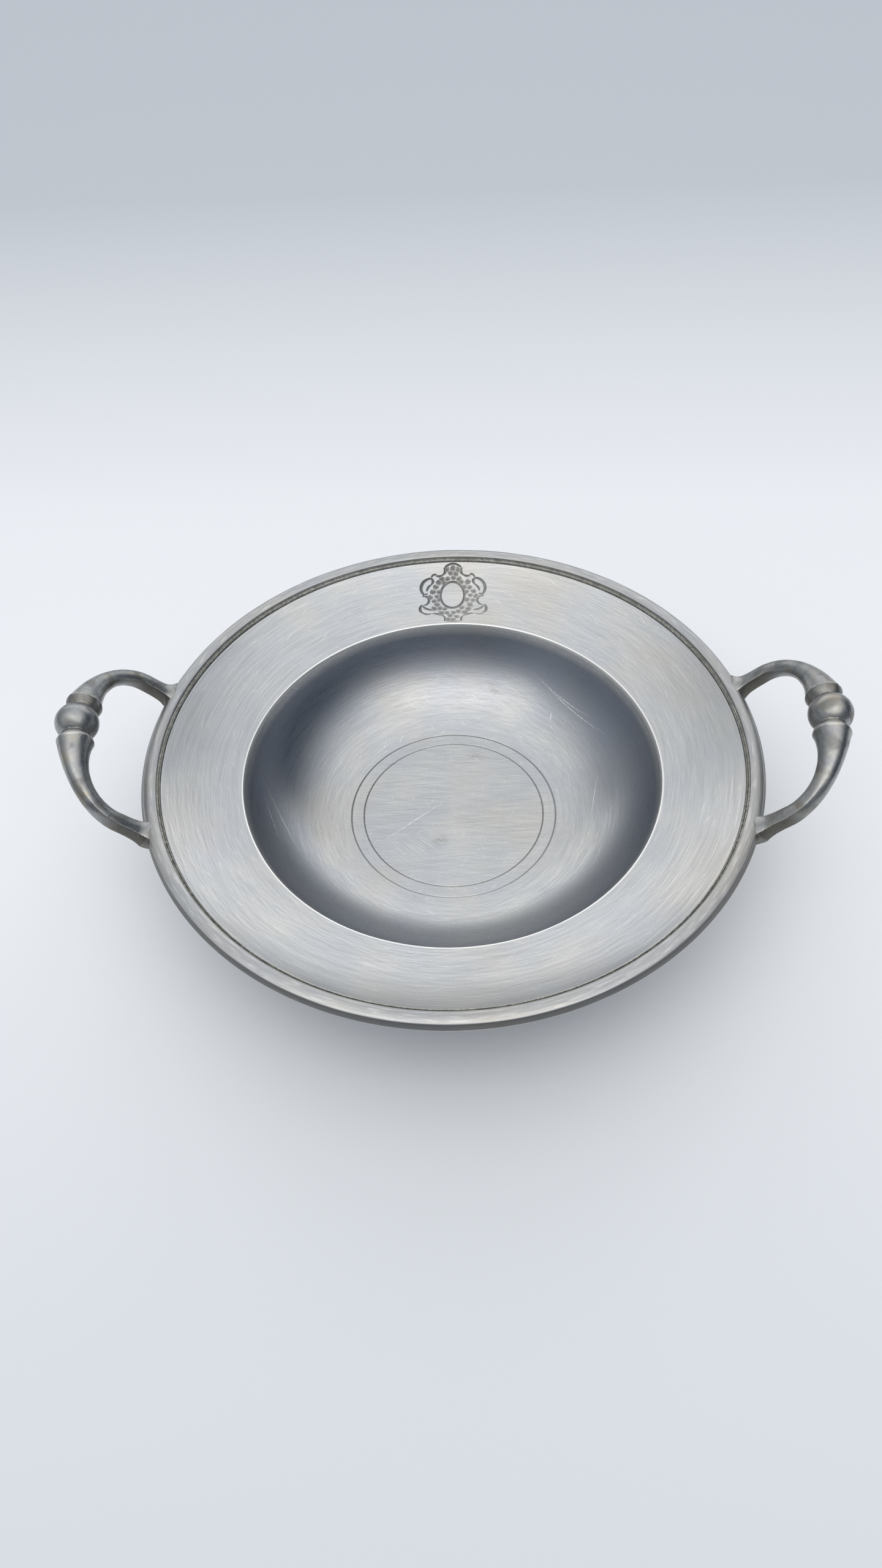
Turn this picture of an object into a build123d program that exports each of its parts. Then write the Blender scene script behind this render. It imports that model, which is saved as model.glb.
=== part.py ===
# Two handled pewter porringer: a turned bowl with a broad flange, a bead ring laid on the edge of
# the flange, and two cast handles soldered to the bead.
# Millimetres, Z up. The foot stands on Z = 0, the cartouche is at the back, on +Y.
import os
from math import acos, cos, hypot, radians, sin, sqrt, tan

from build123d import *

# Bowl
rim_radius = 115.0
rim_height = 47.0
mouth_radius = 80.0
mouth_height = 33.0
floor_radius = 37.0
floor_height = 3.2
wall = 2.0
flange_sag = 0.8
mouth_round = 0.6

# Foot under the well
foot_radius = 38.5
foot_width = 5.5
foot_round = 0.5

# Turned lines on the floor, an inner and an outer one
inner_line_radius = 36.5
line_spacing = 5.0
line_width = 0.6

# Bead ring on the edge of the flange
bead_width = 5.6
bead_height = 2.6
bead_crown_inset = 2.3
bead_inner_wall = 1.2
edge_setback = 0.3

# Solder line inside the bead
seam_width = 1.4
seam_bead_width = 0.9
seam_height = 0.4
seam_fill = 0.15
seam_inset = 0.15

# Cartouche on the flange
cartouche_margin = 1.6
cartouche_depth = 0.45
oval_width = 10.8
oval_height = 12.8

# Handles
handle_swing = 3.3
handle_tilt = 46.7
leg_spread = 34.0
leg_width = 5.4
leg_depth = 6.0
leg_drop = 3.3
leg_tail = 6.0
bend_start = 11.0
root_flare = 4.2
flare_height = 9.0
arm_radius = 2.7
bar_height = 33.4
cup_lean = 6.5
cup_taper = 3.0
cup_swell = 0.3
lip_radius = 6.5
lip_step = 0.25
lip_offset = 8.6
neck_radius = 4.6
neck_offset = 4.8
ball_radius = 7.3
slim_share = 0.5
crisp_share = 0.7
round_corner = 0.712
front_corner = 0.74
back_corner = 0.85

# Solder at the roots of the handles
solder_gap = 0.25
solder_spread = 0.9
solder_below_crown = 0.3

# Levels and radii that follow from the sizes above
foot_overlap = floor_height - wall / 2
land_height = rim_height - bead_height
land_under = land_height - wall
bead_inner = rim_radius - bead_width
land_radius = bead_inner - seam_width
edge_radius = rim_radius - edge_setback
well_rise = mouth_height - floor_height
well_span = mouth_radius - floor_radius
well_arc = (well_span**2 + well_rise**2) / (2 * well_rise)
flange_run = land_radius - mouth_radius
flange_rise = land_height - mouth_height
flange_slant = hypot(flange_run, flange_rise)

# The arm bends along part of an ellipse: it leaves the lip at the cup's lean and ends straight down the leg
lip_across = lip_offset * cos(radians(cup_lean))
lip_height = bar_height - lip_offset * sin(radians(cup_lean))
bend_reach = leg_spread - lip_across
bend_climb = lip_height - bend_start
lip_inset = bend_reach**2 / (bend_climb / tan(radians(cup_lean)) - 2 * bend_reach)
bend_run = bend_reach + lip_inset
bend_rise = bend_run * sqrt(bend_climb / lip_inset * tan(radians(cup_lean)))
lip_turn = acos(lip_inset / bend_run)


def well_height(radius):
    reach = max(radius - floor_radius, 0)
    return floor_height + well_arc - sqrt(well_arc**2 - reach**2)


# The hollow side of the bowl, from the middle of the floor to the edge of the land
def bowl_lines():
    mouth = (mouth_radius, mouth_height)
    land = (land_radius, land_height)
    Line((0, floor_height), (floor_radius, floor_height))
    TangentArc((floor_radius, floor_height), mouth, tangent=(1, 0))
    SagittaArc(mouth, land, -flange_sag)
    Line(land, (edge_radius, land_height))


# Right half of the cartouche, in curves from the crest down to the foot. Each curve is a start, a
# middle and an end, as shares of a cartouche that stands 1 high with the oval's middle at 0, 0.
cartouche_curves = (
    ((0.000, 0.514), (0.079, 0.504), (0.133, 0.468)),
    ((0.133, 0.468), (0.135, 0.392), (0.198, 0.338)),
    ((0.198, 0.338), (0.273, 0.372), (0.345, 0.320)),
    ((0.345, 0.320), (0.489, 0.214), (0.453, 0.043)),
    ((0.453, 0.043), (0.381, -0.065), (0.540, -0.158)),
    ((0.540, -0.158), (0.550, -0.262), (0.414, -0.320)),
    ((0.414, -0.320), (0.360, -0.288), (0.324, -0.320)),
    ((0.324, -0.320), (0.209, -0.360), (0.165, -0.464)),
    ((0.165, -0.464), (0.085, -0.480), (0.000, -0.486)),
)
cartouche_middle = 0.486
cartouche_height = flange_slant - 2 * cartouche_margin
stamp_reach = cartouche_margin + cartouche_middle * cartouche_height
stamp_plane = Plane(
    origin=(
        0,
        mouth_radius + stamp_reach * flange_run / flange_slant,
        mouth_height + stamp_reach * flange_rise / flange_slant,
    ),
    x_dir=(1, 0, 0),
    z_dir=(0, -flange_rise, flange_run),
)

# Sunk field of the cartouche, which leaves the plain oval standing
with BuildPart() as stamp:
    with BuildSketch(Plane.XZ):
        with BuildLine():
            SagittaArc((mouth_radius, mouth_height), (land_radius, land_height), -flange_sag)
            offset(amount=cartouche_depth, side=Side.BOTH)
        make_face()
    revolve(axis=Axis.Z)
    with BuildSketch(stamp_plane):
        with BuildLine():
            for curve in cartouche_curves:
                ThreePointArc(*[(x * cartouche_height, y * cartouche_height) for x, y in curve])
            mirror(about=Plane.YZ)
        make_face()
        Ellipse(oval_width / 2, oval_height / 2, mode=Mode.SUBTRACT)
    extrude(amount=flange_rise / 2, both=True, mode=Mode.INTERSECT)

# Bowl
with BuildPart() as bowl:
    with BuildSketch(Plane.XZ) as bowl_section:
        with BuildLine():
            bowl_lines()
            offset(amount=wall, side=Side.RIGHT)
        make_face()
        mouth_corner = bowl_section.vertices().sort_by_distance((mouth_radius, mouth_height))[0]
        fillet(mouth_corner, radius=mouth_round)
        with Locations((foot_radius - foot_width / 2, foot_overlap / 2)):
            Rectangle(foot_width, foot_overlap)
        fillet(bowl_section.vertices().group_by(Axis.Y)[0], radius=foot_round)
        for line_radius in (inner_line_radius, inner_line_radius + line_spacing):
            with Locations((line_radius, well_height(line_radius))):
                Circle(line_width / 2, mode=Mode.SUBTRACT)
    revolve(axis=Axis.Z)
    add(stamp.part, mode=Mode.SUBTRACT)


# Outline of the bead: flat below, with its crown nearer to the outer side
def bead_lines():
    crown = (rim_radius - bead_crown_inset, rim_height)
    shoulder = rim_height - bead_crown_inset
    inner_top = land_height + bead_inner_wall
    Line((bead_inner, inner_top), (bead_inner, land_height))
    Line((bead_inner, land_height), (rim_radius, land_height))
    Line((rim_radius, land_height), (rim_radius, shoulder))
    CenterArc((crown[0], shoulder), bead_crown_inset, 0, 90)
    TangentArc(crown, (bead_inner, inner_top), tangent=(-1, 0))


# Bead ring
with BuildPart() as rim_bead:
    with BuildSketch(Plane.XZ):
        with BuildLine():
            bead_lines()
        make_face()
    revolve(axis=Axis.Z)

# Solder line: a low round bead on the land, and a thin fill up to the ring
with BuildPart() as rim_solder:
    with BuildSketch(Plane.XZ):
        seam_inner = land_radius + seam_inset
        seam_outer = seam_inner + seam_bead_width
        seam_middle = (seam_inner + seam_outer) / 2
        with BuildLine():
            ThreePointArc(
                (seam_inner, land_height),
                (seam_middle, land_height + seam_height),
                (seam_outer, land_height + seam_fill),
            )
            Line((seam_outer, land_height + seam_fill), (bead_inner, land_height + seam_fill))
            Line((bead_inner, land_height + seam_fill), (bead_inner, land_height))
            Line((bead_inner, land_height), (seam_inner, land_height))
        make_face()
    revolve(axis=Axis.Z)


# Section of the rim with a skin of the given thickness, to fit the handles and their solder
def rim_section(skin):
    with BuildSketch() as section:
        with BuildLine():
            bead_lines()
        make_face()
        with Locations((edge_radius - bead_width, land_height - wall / 2)):
            Rectangle(2 * bead_width, wall)
        offset(amount=skin)
    return section.sketch


# What is filed off the legs: the seat on the rim, and all below the underside of the rim
with BuildPart() as leg_trim:
    with BuildSketch(Plane.XZ):
        add(rim_section(solder_gap))
        with Locations((rim_radius, land_under - leg_tail)):
            Rectangle(bar_height, 2 * leg_tail)
    revolve(axis=Axis.Z)

# Where solder may lie: close to the rim, from its underside to just below its crown
with BuildPart() as solder_room:
    with BuildSketch(Plane.XZ):
        add(rim_section(solder_spread))
        with Locations((rim_radius, (land_under + rim_height - solder_below_crown) / 2)):
            Rectangle(bar_height, rim_height - solder_below_crown - land_under, mode=Mode.INTERSECT)
    revolve(axis=Axis.Z)


# Plane of a handle: X across the legs, Y up the slope, Z to the back
def handle_plane(azimuth):
    outward = Vector(cos(radians(azimuth)), sin(radians(azimuth)), 0)
    across = Vector(-outward.Y, outward.X, 0)
    rise = outward * cos(radians(handle_tilt)) + Vector(0, 0, sin(radians(handle_tilt)))
    seat_radius = sqrt(rim_radius**2 - leg_spread**2)
    seat = outward * seat_radius + Vector(0, 0, rim_height - leg_drop)
    return Plane(origin=seat, x_dir=across, z_dir=across.cross(rise))


# Section across one arm: four arcs that make a round at the cup and a D with crisp edges at the leg.
# The share runs from 1 at the lip of the cup to 0 where the bend ends, and the drop goes on down the leg.
def arm_section(plane, side, share, drop, grow):
    turn = lip_turn * share
    height = bend_start + bend_rise * sin(turn) - drop
    across = leg_spread - bend_run * (1 - cos(turn))
    middle = plane.from_local_coords((side * across, height))
    ahead = plane.x_dir * (-side * bend_run * sin(turn)) + plane.y_dir * (bend_rise * cos(turn))
    cup = (lip_radius - lip_step - arm_radius) * share**cup_taper
    flare = root_flare * max(0, (flare_height - height) / (flare_height + leg_tail)) ** 2
    slim = min(1, share / slim_share)
    half_depth = leg_depth / 2 + (arm_radius - leg_depth / 2) * slim + cup + grow
    half_width = leg_width / 2 + (arm_radius - leg_width / 2) * slim + cup + flare + grow
    crisp = max(0, 1 - share / crisp_share)
    front = round_corner + (front_corner - round_corner) * crisp
    back = round_corner + (back_corner - round_corner) * crisp
    front_left = (-front * half_depth, front * half_width)
    front_right = (-front * half_depth, -front * half_width)
    back_left = (back * half_depth, back * half_width)
    back_right = (back * half_depth, -back * half_width)
    with BuildSketch(Plane(origin=middle, x_dir=plane.z_dir, z_dir=ahead)) as section:
        with BuildLine():
            ThreePointArc(front_right, (-half_depth, 0), front_left)
            ThreePointArc(front_left, (0, half_width), back_left)
            ThreePointArc(back_left, (half_depth, 0), back_right)
            ThreePointArc(back_right, (0, -half_width), front_right)
        make_face()
    return section.sketch


arm_shares = (1, 0.92, 0.82, 0.7, 0.55, 0.4, 0.25, 0.1)
leg_shares = (0, 0.24, 0.42, 0.6, 1)
leg_drops = [(bend_start + leg_tail) * share for share in leg_shares]


# One handle: two arms with flared cups, the ball and its necks between them
def handle(azimuth):
    plane = handle_plane(azimuth)
    ball_middle = plane.from_local_coords((0, bar_height))
    with BuildPart() as casting:
        for side in (1, -1):
            arm = [arm_section(plane, side, share, 0, 0) for share in arm_shares]
            leg = [arm_section(plane, side, 0, drop, 0) for drop in leg_drops]
            loft(arm + leg)
            cup_axis = plane.x_dir * (side * cos(radians(cup_lean))) - plane.y_dir * sin(radians(cup_lean))
            with BuildSketch(Plane(origin=ball_middle, x_dir=cup_axis, z_dir=plane.z_dir * side)):
                with BuildLine():
                    Polyline((neck_offset, neck_radius), (0, neck_radius), (0, 0), (lip_offset, 0))
                    Line((lip_offset, 0), (lip_offset, lip_radius))
                    SagittaArc((lip_offset, lip_radius), (neck_offset, neck_radius), -cup_swell)
                make_face()
            revolve(axis=Axis(ball_middle, cup_axis))
        with BuildSketch(Plane(origin=ball_middle, x_dir=plane.x_dir, z_dir=plane.z_dir)):
            with BuildLine():
                ThreePointArc((-neck_offset, neck_radius), (0, ball_radius), (neck_offset, neck_radius))
                Line((neck_offset, neck_radius), (neck_offset, 0))
                Line((neck_offset, 0), (-neck_offset, 0))
                Line((-neck_offset, 0), (-neck_offset, neck_radius))
            make_face()
        revolve(axis=Axis(ball_middle, plane.x_dir))
        add(leg_trim.part, mode=Mode.SUBTRACT)
    return casting


# Solder at one root: the layer under the leg and a low fillet round it
def root_solder(azimuth, side, casting):
    plane = handle_plane(azimuth)
    with BuildPart() as joint:
        loft([arm_section(plane, side, 0, drop, solder_spread) for drop in leg_drops[1:]])
        add(solder_room.part, mode=Mode.INTERSECT)
        for piece in (casting, bowl, rim_bead):
            add(piece.part, mode=Mode.SUBTRACT)
    return joint


pieces = {"bowl": bowl, "rim_bead": rim_bead, "rim_solder": rim_solder}
for name, azimuth, front_side in (("right", -handle_swing, -1), ("left", 180 + handle_swing, 1)):
    pieces[name + "_handle"] = handle(azimuth)
    for end, side in (("front", front_side), ("back", -front_side)):
        pieces[name + "_" + end + "_solder"] = root_solder(azimuth, side, pieces[name + "_handle"])

os.makedirs("parts", exist_ok=True)
for name, piece in pieces.items():
    piece.part.label = name
    export_step(piece.part, "parts/" + name + ".step")
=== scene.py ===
import math
import random

import bmesh
import bpy
from mathutils import Matrix, Vector, noise


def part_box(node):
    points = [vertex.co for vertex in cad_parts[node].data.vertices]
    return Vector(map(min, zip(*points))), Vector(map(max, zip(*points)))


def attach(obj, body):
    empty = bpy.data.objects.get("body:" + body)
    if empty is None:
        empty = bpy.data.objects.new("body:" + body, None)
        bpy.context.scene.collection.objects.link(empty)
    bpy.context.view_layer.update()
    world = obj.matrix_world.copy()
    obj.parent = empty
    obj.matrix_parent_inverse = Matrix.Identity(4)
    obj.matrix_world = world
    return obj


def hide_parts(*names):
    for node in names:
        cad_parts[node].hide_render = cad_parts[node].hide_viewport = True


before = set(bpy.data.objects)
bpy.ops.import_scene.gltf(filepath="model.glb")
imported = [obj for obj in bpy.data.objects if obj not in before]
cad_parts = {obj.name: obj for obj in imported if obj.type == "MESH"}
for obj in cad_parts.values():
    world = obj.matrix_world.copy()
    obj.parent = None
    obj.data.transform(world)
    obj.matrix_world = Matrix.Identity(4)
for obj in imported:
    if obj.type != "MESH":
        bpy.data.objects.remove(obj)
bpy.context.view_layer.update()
mm = 0.001  # the sizes below are in millimetres
mergeGap = 0.002  # points nearer than this become one
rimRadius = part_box("rim_bead")[1].x / mm
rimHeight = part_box("rim_bead")[1].z / mm
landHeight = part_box("rim_bead")[0].z / mm
print("frame loaded:", len(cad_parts), "nodes, rim", round(2 * rimRadius), "mm across")


def linear(hexColour):  # sRGB hex to linear colour
    parts = [int(hexColour[i:i + 2], 16) / 255 for i in (1, 3, 5)]
    return [c / 12.92 if c <= 0.04045 else ((c + 0.055) / 1.055) ** 2.4 for c in parts] + [1.0]


def smoothStep(low, high, value):  # runs from 0 at low to 1 at high
    share = min(1.0, max(0.0, (value - low) / (high - low)))
    return share * share * (3 - 2 * share)


def newPiece(name, bm, material, slot, *nodes):  # mesh in place, riding on the body, standing for CAD nodes
    bmesh.ops.scale(bm, vec=(mm, mm, mm), verts=bm.verts)
    mesh = bpy.data.meshes.new(name)
    bm.to_mesh(mesh)
    bm.free()
    mesh.shade_smooth()
    piece = bpy.data.objects.new(name, mesh)
    bpy.context.scene.collection.objects.link(piece)
    mesh.materials.append(material)
    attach(piece, "root")
    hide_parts(*nodes)
    print(name, "built with", len(mesh.polygons), "faces")


# Materials: each input of a node takes a value, a hex colour or the output of another node

def addNode(tree, kind, inputs={}, give=None, **settings):
    node = tree.nodes.new(kind)
    for name, value in settings.items():
        setattr(node, name, value)
    ports = [port for port in node.inputs if port.enabled]
    for key, value in inputs.items():
        port = ports[key] if isinstance(key, int) else next(p for p in ports if p.name == key)
        if isinstance(value, bpy.types.NodeSocket):
            tree.links.new(value, port)
        else:
            port.default_value = linear(value) if isinstance(value, str) else value
    return node.outputs[give] if give else next((p for p in node.outputs if p.enabled), None)


def newMaterial(name):
    material = bpy.data.materials.new(name)
    material.use_nodes = True
    material.node_tree.nodes.clear()
    return material


def placeInMm(tree):
    place = addNode(tree, "ShaderNodeTexCoord", give="Object")
    return addNode(tree, "ShaderNodeVectorMath", {0: place, "Scale": 1 / mm}, operation="SCALE")


def ringLines(tree, place, centre, spacing, run, reach=90):
    # noise drawn out along circles round a centre, where lines are as long as run at the radius reach
    moved = addNode(tree, "ShaderNodeVectorMath", {0: place, 1: (*centre, 0)}, operation="SUBTRACT")
    flat = addNode(tree, "ShaderNodeVectorMath", {0: moved, 1: (1, 1, 0)}, operation="MULTIPLY")
    radius = addNode(tree, "ShaderNodeVectorMath", {0: flat}, operation="LENGTH")
    ring = addNode(tree, "ShaderNodeVectorMath", {0: flat}, operation="NORMALIZE")
    around = addNode(tree, "ShaderNodeVectorMath", {0: ring, "Scale": reach / run}, operation="SCALE")
    across = addNode(tree, "ShaderNodeMath", {0: radius, 1: spacing}, operation="DIVIDE")
    lift = addNode(tree, "ShaderNodeCombineXYZ", {"Z": across})
    spot = addNode(tree, "ShaderNodeVectorMath", {0: around, 1: lift}, operation="ADD")
    return addNode(tree, "ShaderNodeTexNoise", {"Vector": spot, "Scale": 1, "Detail": 2, "Roughness": 0.6})


def straightLines(tree, place, turn, spacing, run):  # noise drawn out along straight strokes
    drawn = addNode(tree, "ShaderNodeMapping",
                    {"Vector": place, "Rotation": (0, 0, math.radians(turn)), "Scale": (run, spacing, run)},
                    vector_type="TEXTURE")
    return addNode(tree, "ShaderNodeTexNoise", {"Vector": drawn, "Scale": 1, "Detail": 2, "Roughness": 0.6})


def ovalMarks(tree, place, marks):  # soft ovals in plan, each with x, y, turn, length and width
    tall = 1000  # the marks reach through the whole height of the object
    total = 0.0
    for x, y, turn, length, width in marks:
        local = addNode(tree, "ShaderNodeMapping",
                        {"Vector": place, "Location": (x, y, 0), "Rotation": (0, 0, math.radians(turn)),
                         "Scale": (length / 2, width / 2, tall)}, vector_type="TEXTURE")
        away = addNode(tree, "ShaderNodeVectorMath", {0: local}, operation="LENGTH")
        mark = addNode(tree, "ShaderNodeMapRange", {"Value": away, "From Min": 1, "From Max": 0.2})
        total = addNode(tree, "ShaderNodeMath", {0: total, 1: mark}, operation="MAXIMUM")
    return total


pewterLook = {
    "light": "#c9c9c6", "cool": "#c0c2c5", "warm": "#c8c2b6", "brushed": "#8d9093", "scratch": "#eceae6",
    # the deep tone is painted shade: a darker, bluer upper wall of the well
    "smudge": "#8f8e8a", "wellShade": "#566680", "patinaAndShade": "#4a4742", "wearAndHighlight": "#f6f4f0",
    "roughness": 0.3, "spread": 0.06, "dulling": 0.2, "anisotropic": 0.3, "relief": 0.02,
    "lineSpacing": 0.42, "lineRun": 26,  # lathe lines, a few to each millimetre
    "arcSpacing": 0.6, "arcRun": 17, "arcCentres": ((-14, 10), (17, -6)),  # polishing across those lines
    "cutSpacing": 0.7, "cutRun": 9, "cutCentres": ((34, 20), (-42, 15)), "cutReach": 100,  # stray scratches
    "floorRubs": ((4, 0.5, 16), (-9, 0.6, 22)),  # turn, spacing and run of strokes rubbed into the floor
    "patchRub": (-40, 0.7, 14), "smudgeRub": (-20, 0.6, 2.4),
    # the last tone strength and the well and mouth radii set that painted shade on the upper well wall
    "grain": 0.5, "mottle": 22, "stainShare": 0.45, "stainShift": (310, 40, 0), "wellShadeMost": 0.65,
    "floorFade": (48, 32), "wellShadeFade": (54.6, 75.6), "mouthShadeFade": (79.2, 78),  # radii where a tone comes in
    "patch": ((-14.5, -17, 30, 26, 17),),
    "smudges": ((9.9, 29.3, -12, 11, 4), (-5.1, -14.3, 10, 9, 7), (17.7, 60.8, -50, 10, 4)),
    "scratches": (
        (-16.2, -5, 39.5, 38, 0.5), (-66.8, -12.7, -60, 35, 0.45), (-69.7, -15.7, -67, 22, 0.4),
        (41.7, 45, 79, 5, 0.5), (57, 3.4, 78, 23, 0.5), (51, 44, -51, 46, 0.4), (47, 50, -47, 40, 0.35),
    ),
}


def turnedPewter(look):
    # Pewter turned and rubbed by hand: pale grey satin, fine circles and crossing arcs, darker in the
    # grooves, with painted shade on the upper well wall
    material = newMaterial("turned_pewter")
    tree = material.node_tree
    place = placeInMm(tree)
    flat = addNode(tree, "ShaderNodeVectorMath", {0: place, 1: (1, 1, 0)}, operation="MULTIPLY")
    radius = addNode(tree, "ShaderNodeVectorMath", {0: flat}, operation="LENGTH")
    fades = {}
    for zone, most in (("floorFade", 1), ("wellShadeFade", look["wellShadeMost"]), ("mouthShadeFade", 1)):
        start, end = look[zone]
        fades[zone] = addNode(tree, "ShaderNodeMapRange",
                              {"Value": radius, "From Min": start, "From Max": end, "To Max": most})
    # painted shade: darker and bluer up the well wall, fading out just inside the mouth
    wellShade = addNode(tree, "ShaderNodeMath", {0: fades["wellShadeFade"], 1: fades["mouthShadeFade"]},
                   operation="MULTIPLY")

    # brush marks: circles and arcs on the turned walls, straight rubbing on the floor
    lathe = ringLines(tree, place, (0, 0), look["lineSpacing"], look["lineRun"])
    arcs = [ringLines(tree, place, centre, look["arcSpacing"], look["arcRun"])
            for centre in look["arcCentres"]]
    arcs = addNode(tree, "ShaderNodeMix", {"Factor": 0.5, "A": arcs[0], "B": arcs[1]})
    rings = addNode(tree, "ShaderNodeMix", {"Factor": 0.5, "A": arcs, "B": lathe})
    rubs = [straightLines(tree, place, *rub) for rub in look["floorRubs"]]
    rubs = addNode(tree, "ShaderNodeMix", {"Factor": 0.4, "A": rubs[0], "B": rubs[1]})
    patch = ovalMarks(tree, place, look["patch"])
    patchRub = straightLines(tree, place, *look["patchRub"])
    rubs = addNode(tree, "ShaderNodeMix", {"Factor": patch, "A": rubs, "B": patchRub})
    brush = addNode(tree, "ShaderNodeMix", {"Factor": fades["floorFade"], "A": rings, "B": rubs})
    grain = addNode(tree, "ShaderNodeTexNoise", {"Vector": place, "Scale": 1 / look["grain"], "Detail": 2})
    brush = addNode(tree, "ShaderNodeMix", {"Factor": 0.16, "A": brush, "B": grain})
    brush = addNode(tree, "ShaderNodeMapRange", {"Value": brush, "From Min": 0.36, "From Max": 0.64})

    # stray cuts, which fade where the upper wall carries painted shade, and the plainest single scratches and
    # smudges
    cuts = [ringLines(tree, place, centre, look["cutSpacing"], look["cutRun"], look["cutReach"])
            for centre in look["cutCentres"]]
    cuts = addNode(tree, "ShaderNodeMath", {0: cuts[0], 1: cuts[1]}, operation="MAXIMUM")
    cuts = addNode(tree, "ShaderNodeMapRange",
                   {"Value": cuts, "From Min": 0.66, "From Max": 0.76, "To Max": 0.35})
    outsideShade = addNode(tree, "ShaderNodeMath", {0: wellShade, 1: -1.6, 2: 1.0}, operation="MULTIPLY_ADD",
                      use_clamp=True)
    cuts = addNode(tree, "ShaderNodeMath", {0: cuts, 1: outsideShade}, operation="MULTIPLY")
    broken = addNode(tree, "ShaderNodeMapRange", {"Value": grain, "From Min": 0.35, "From Max": 0.55})
    scratches = ovalMarks(tree, place, look["scratches"])
    scratches = addNode(tree, "ShaderNodeMath", {0: scratches, 1: broken}, operation="MULTIPLY")
    scratches = addNode(tree, "ShaderNodeMath", {0: scratches, 1: cuts}, operation="MAXIMUM")
    uneven = straightLines(tree, place, *look["smudgeRub"])
    uneven = addNode(tree, "ShaderNodeMapRange",
                     {"Value": uneven, "From Min": 0.4, "From Max": 0.66, "To Max": 0.8})
    smudges = ovalMarks(tree, place, look["smudges"])
    smudges = addNode(tree, "ShaderNodeMath", {0: smudges, 1: uneven}, operation="MULTIPLY")

    # broad changes of tone, and what the meshes carry: dark hollows, worn edges, painted shade and painted
    # highlights
    mottle = addNode(tree, "ShaderNodeTexNoise", {"Vector": place, "Scale": 1 / look["mottle"], "Detail": 4})
    mottle = addNode(tree, "ShaderNodeMapRange", {"Value": mottle, "From Min": 0.35, "From Max": 0.65})
    aside = addNode(tree, "ShaderNodeVectorMath", {0: place, 1: look["stainShift"]}, operation="ADD")
    stain = addNode(tree, "ShaderNodeTexNoise",
                    {"Vector": aside, "Scale": look["stainShare"] / look["mottle"], "Detail": 3})
    stain = addNode(tree, "ShaderNodeMapRange",
                    {"Value": stain, "From Min": 0.5, "From Max": 0.7, "To Max": 0.6})
    # patina: real patina in hollows, and painted shade on the bead's outer flank
    patinaAndShade = addNode(tree, "ShaderNodeAttribute", give="Fac", attribute_name="patinaAndShade")
    # wear: real worn edges, and painted highlights on the mouth edge and on the bead's ridge and crown
    wearAndHighlight = addNode(tree, "ShaderNodeAttribute", give="Fac", attribute_name="wearAndHighlight")
    shade = addNode(tree, "ShaderNodeMapRange", {"Value": brush, "To Min": 0.5, "To Max": 0})
    colour = look["cool"]
    for factor, tone in ((mottle, "light"), (stain, "warm"), (wellShade, "wellShade"), (shade, "brushed"),
                         (smudges, "smudge"), (scratches, "scratch"), (patinaAndShade, "patinaAndShade"), (wearAndHighlight, "wearAndHighlight")):
        colour = addNode(tree, "ShaderNodeMix", {"Factor": factor, "A": colour, "B": look[tone]},
                         data_type="RGBA")

    rough = addNode(tree, "ShaderNodeMapRange",
                    {"Value": brush, "To Min": look["roughness"] + look["spread"],
                     "To Max": look["roughness"] - look["spread"]})
    rough = addNode(tree, "ShaderNodeMath", {0: patinaAndShade, 1: look["dulling"], 2: rough},
                    operation="MULTIPLY_ADD")
    height = addNode(tree, "ShaderNodeMath", {0: scratches, 1: -0.8, 2: brush}, operation="MULTIPLY_ADD")
    bump = addNode(tree, "ShaderNodeBump",
                   {"Strength": 0.6, "Distance": look["relief"] * mm, "Height": height})
    around = addNode(tree, "ShaderNodeTangent", direction_type="RADIAL", axis="Z")
    shader = addNode(tree, "ShaderNodeBsdfPrincipled", {
        "Base Color": colour, "Metallic": 1, "Roughness": rough, "Normal": bump,
        "Anisotropic": look["anisotropic"], "Anisotropic Rotation": 0.25, "Tangent": around})
    addNode(tree, "ShaderNodeOutputMaterial", {"Surface": shader})
    return material


castLook = {
    "light": "#abaaa5", "dark": "#959799", "warm": "#9c9179", "scratch": "#cfcecb", "wearAndHighlight": "#dedcd6",
    "patinaAndShade": "#4b463a", "roughness": 0.3, "dulling": 0.2, "relief": 0.06,
    "grain": 1.1, "mottle": 6, "cutTurn": 70, "cutSpacing": 0.5, "cutRun": 7,
}
solderLook = {
    "light": "#aaaaa4", "dark": "#8a8a84", "warm": "#8f8873", "scratch": "#bdbbb6", "wearAndHighlight": "#e6e4de",
    "patinaAndShade": "#3c3933", "roughness": 0.4, "dulling": 0.2, "relief": 0.06,
    "grain": 0.6, "mottle": 3, "cutTurn": 70, "cutSpacing": 0.5, "cutRun": 3,
}


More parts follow.
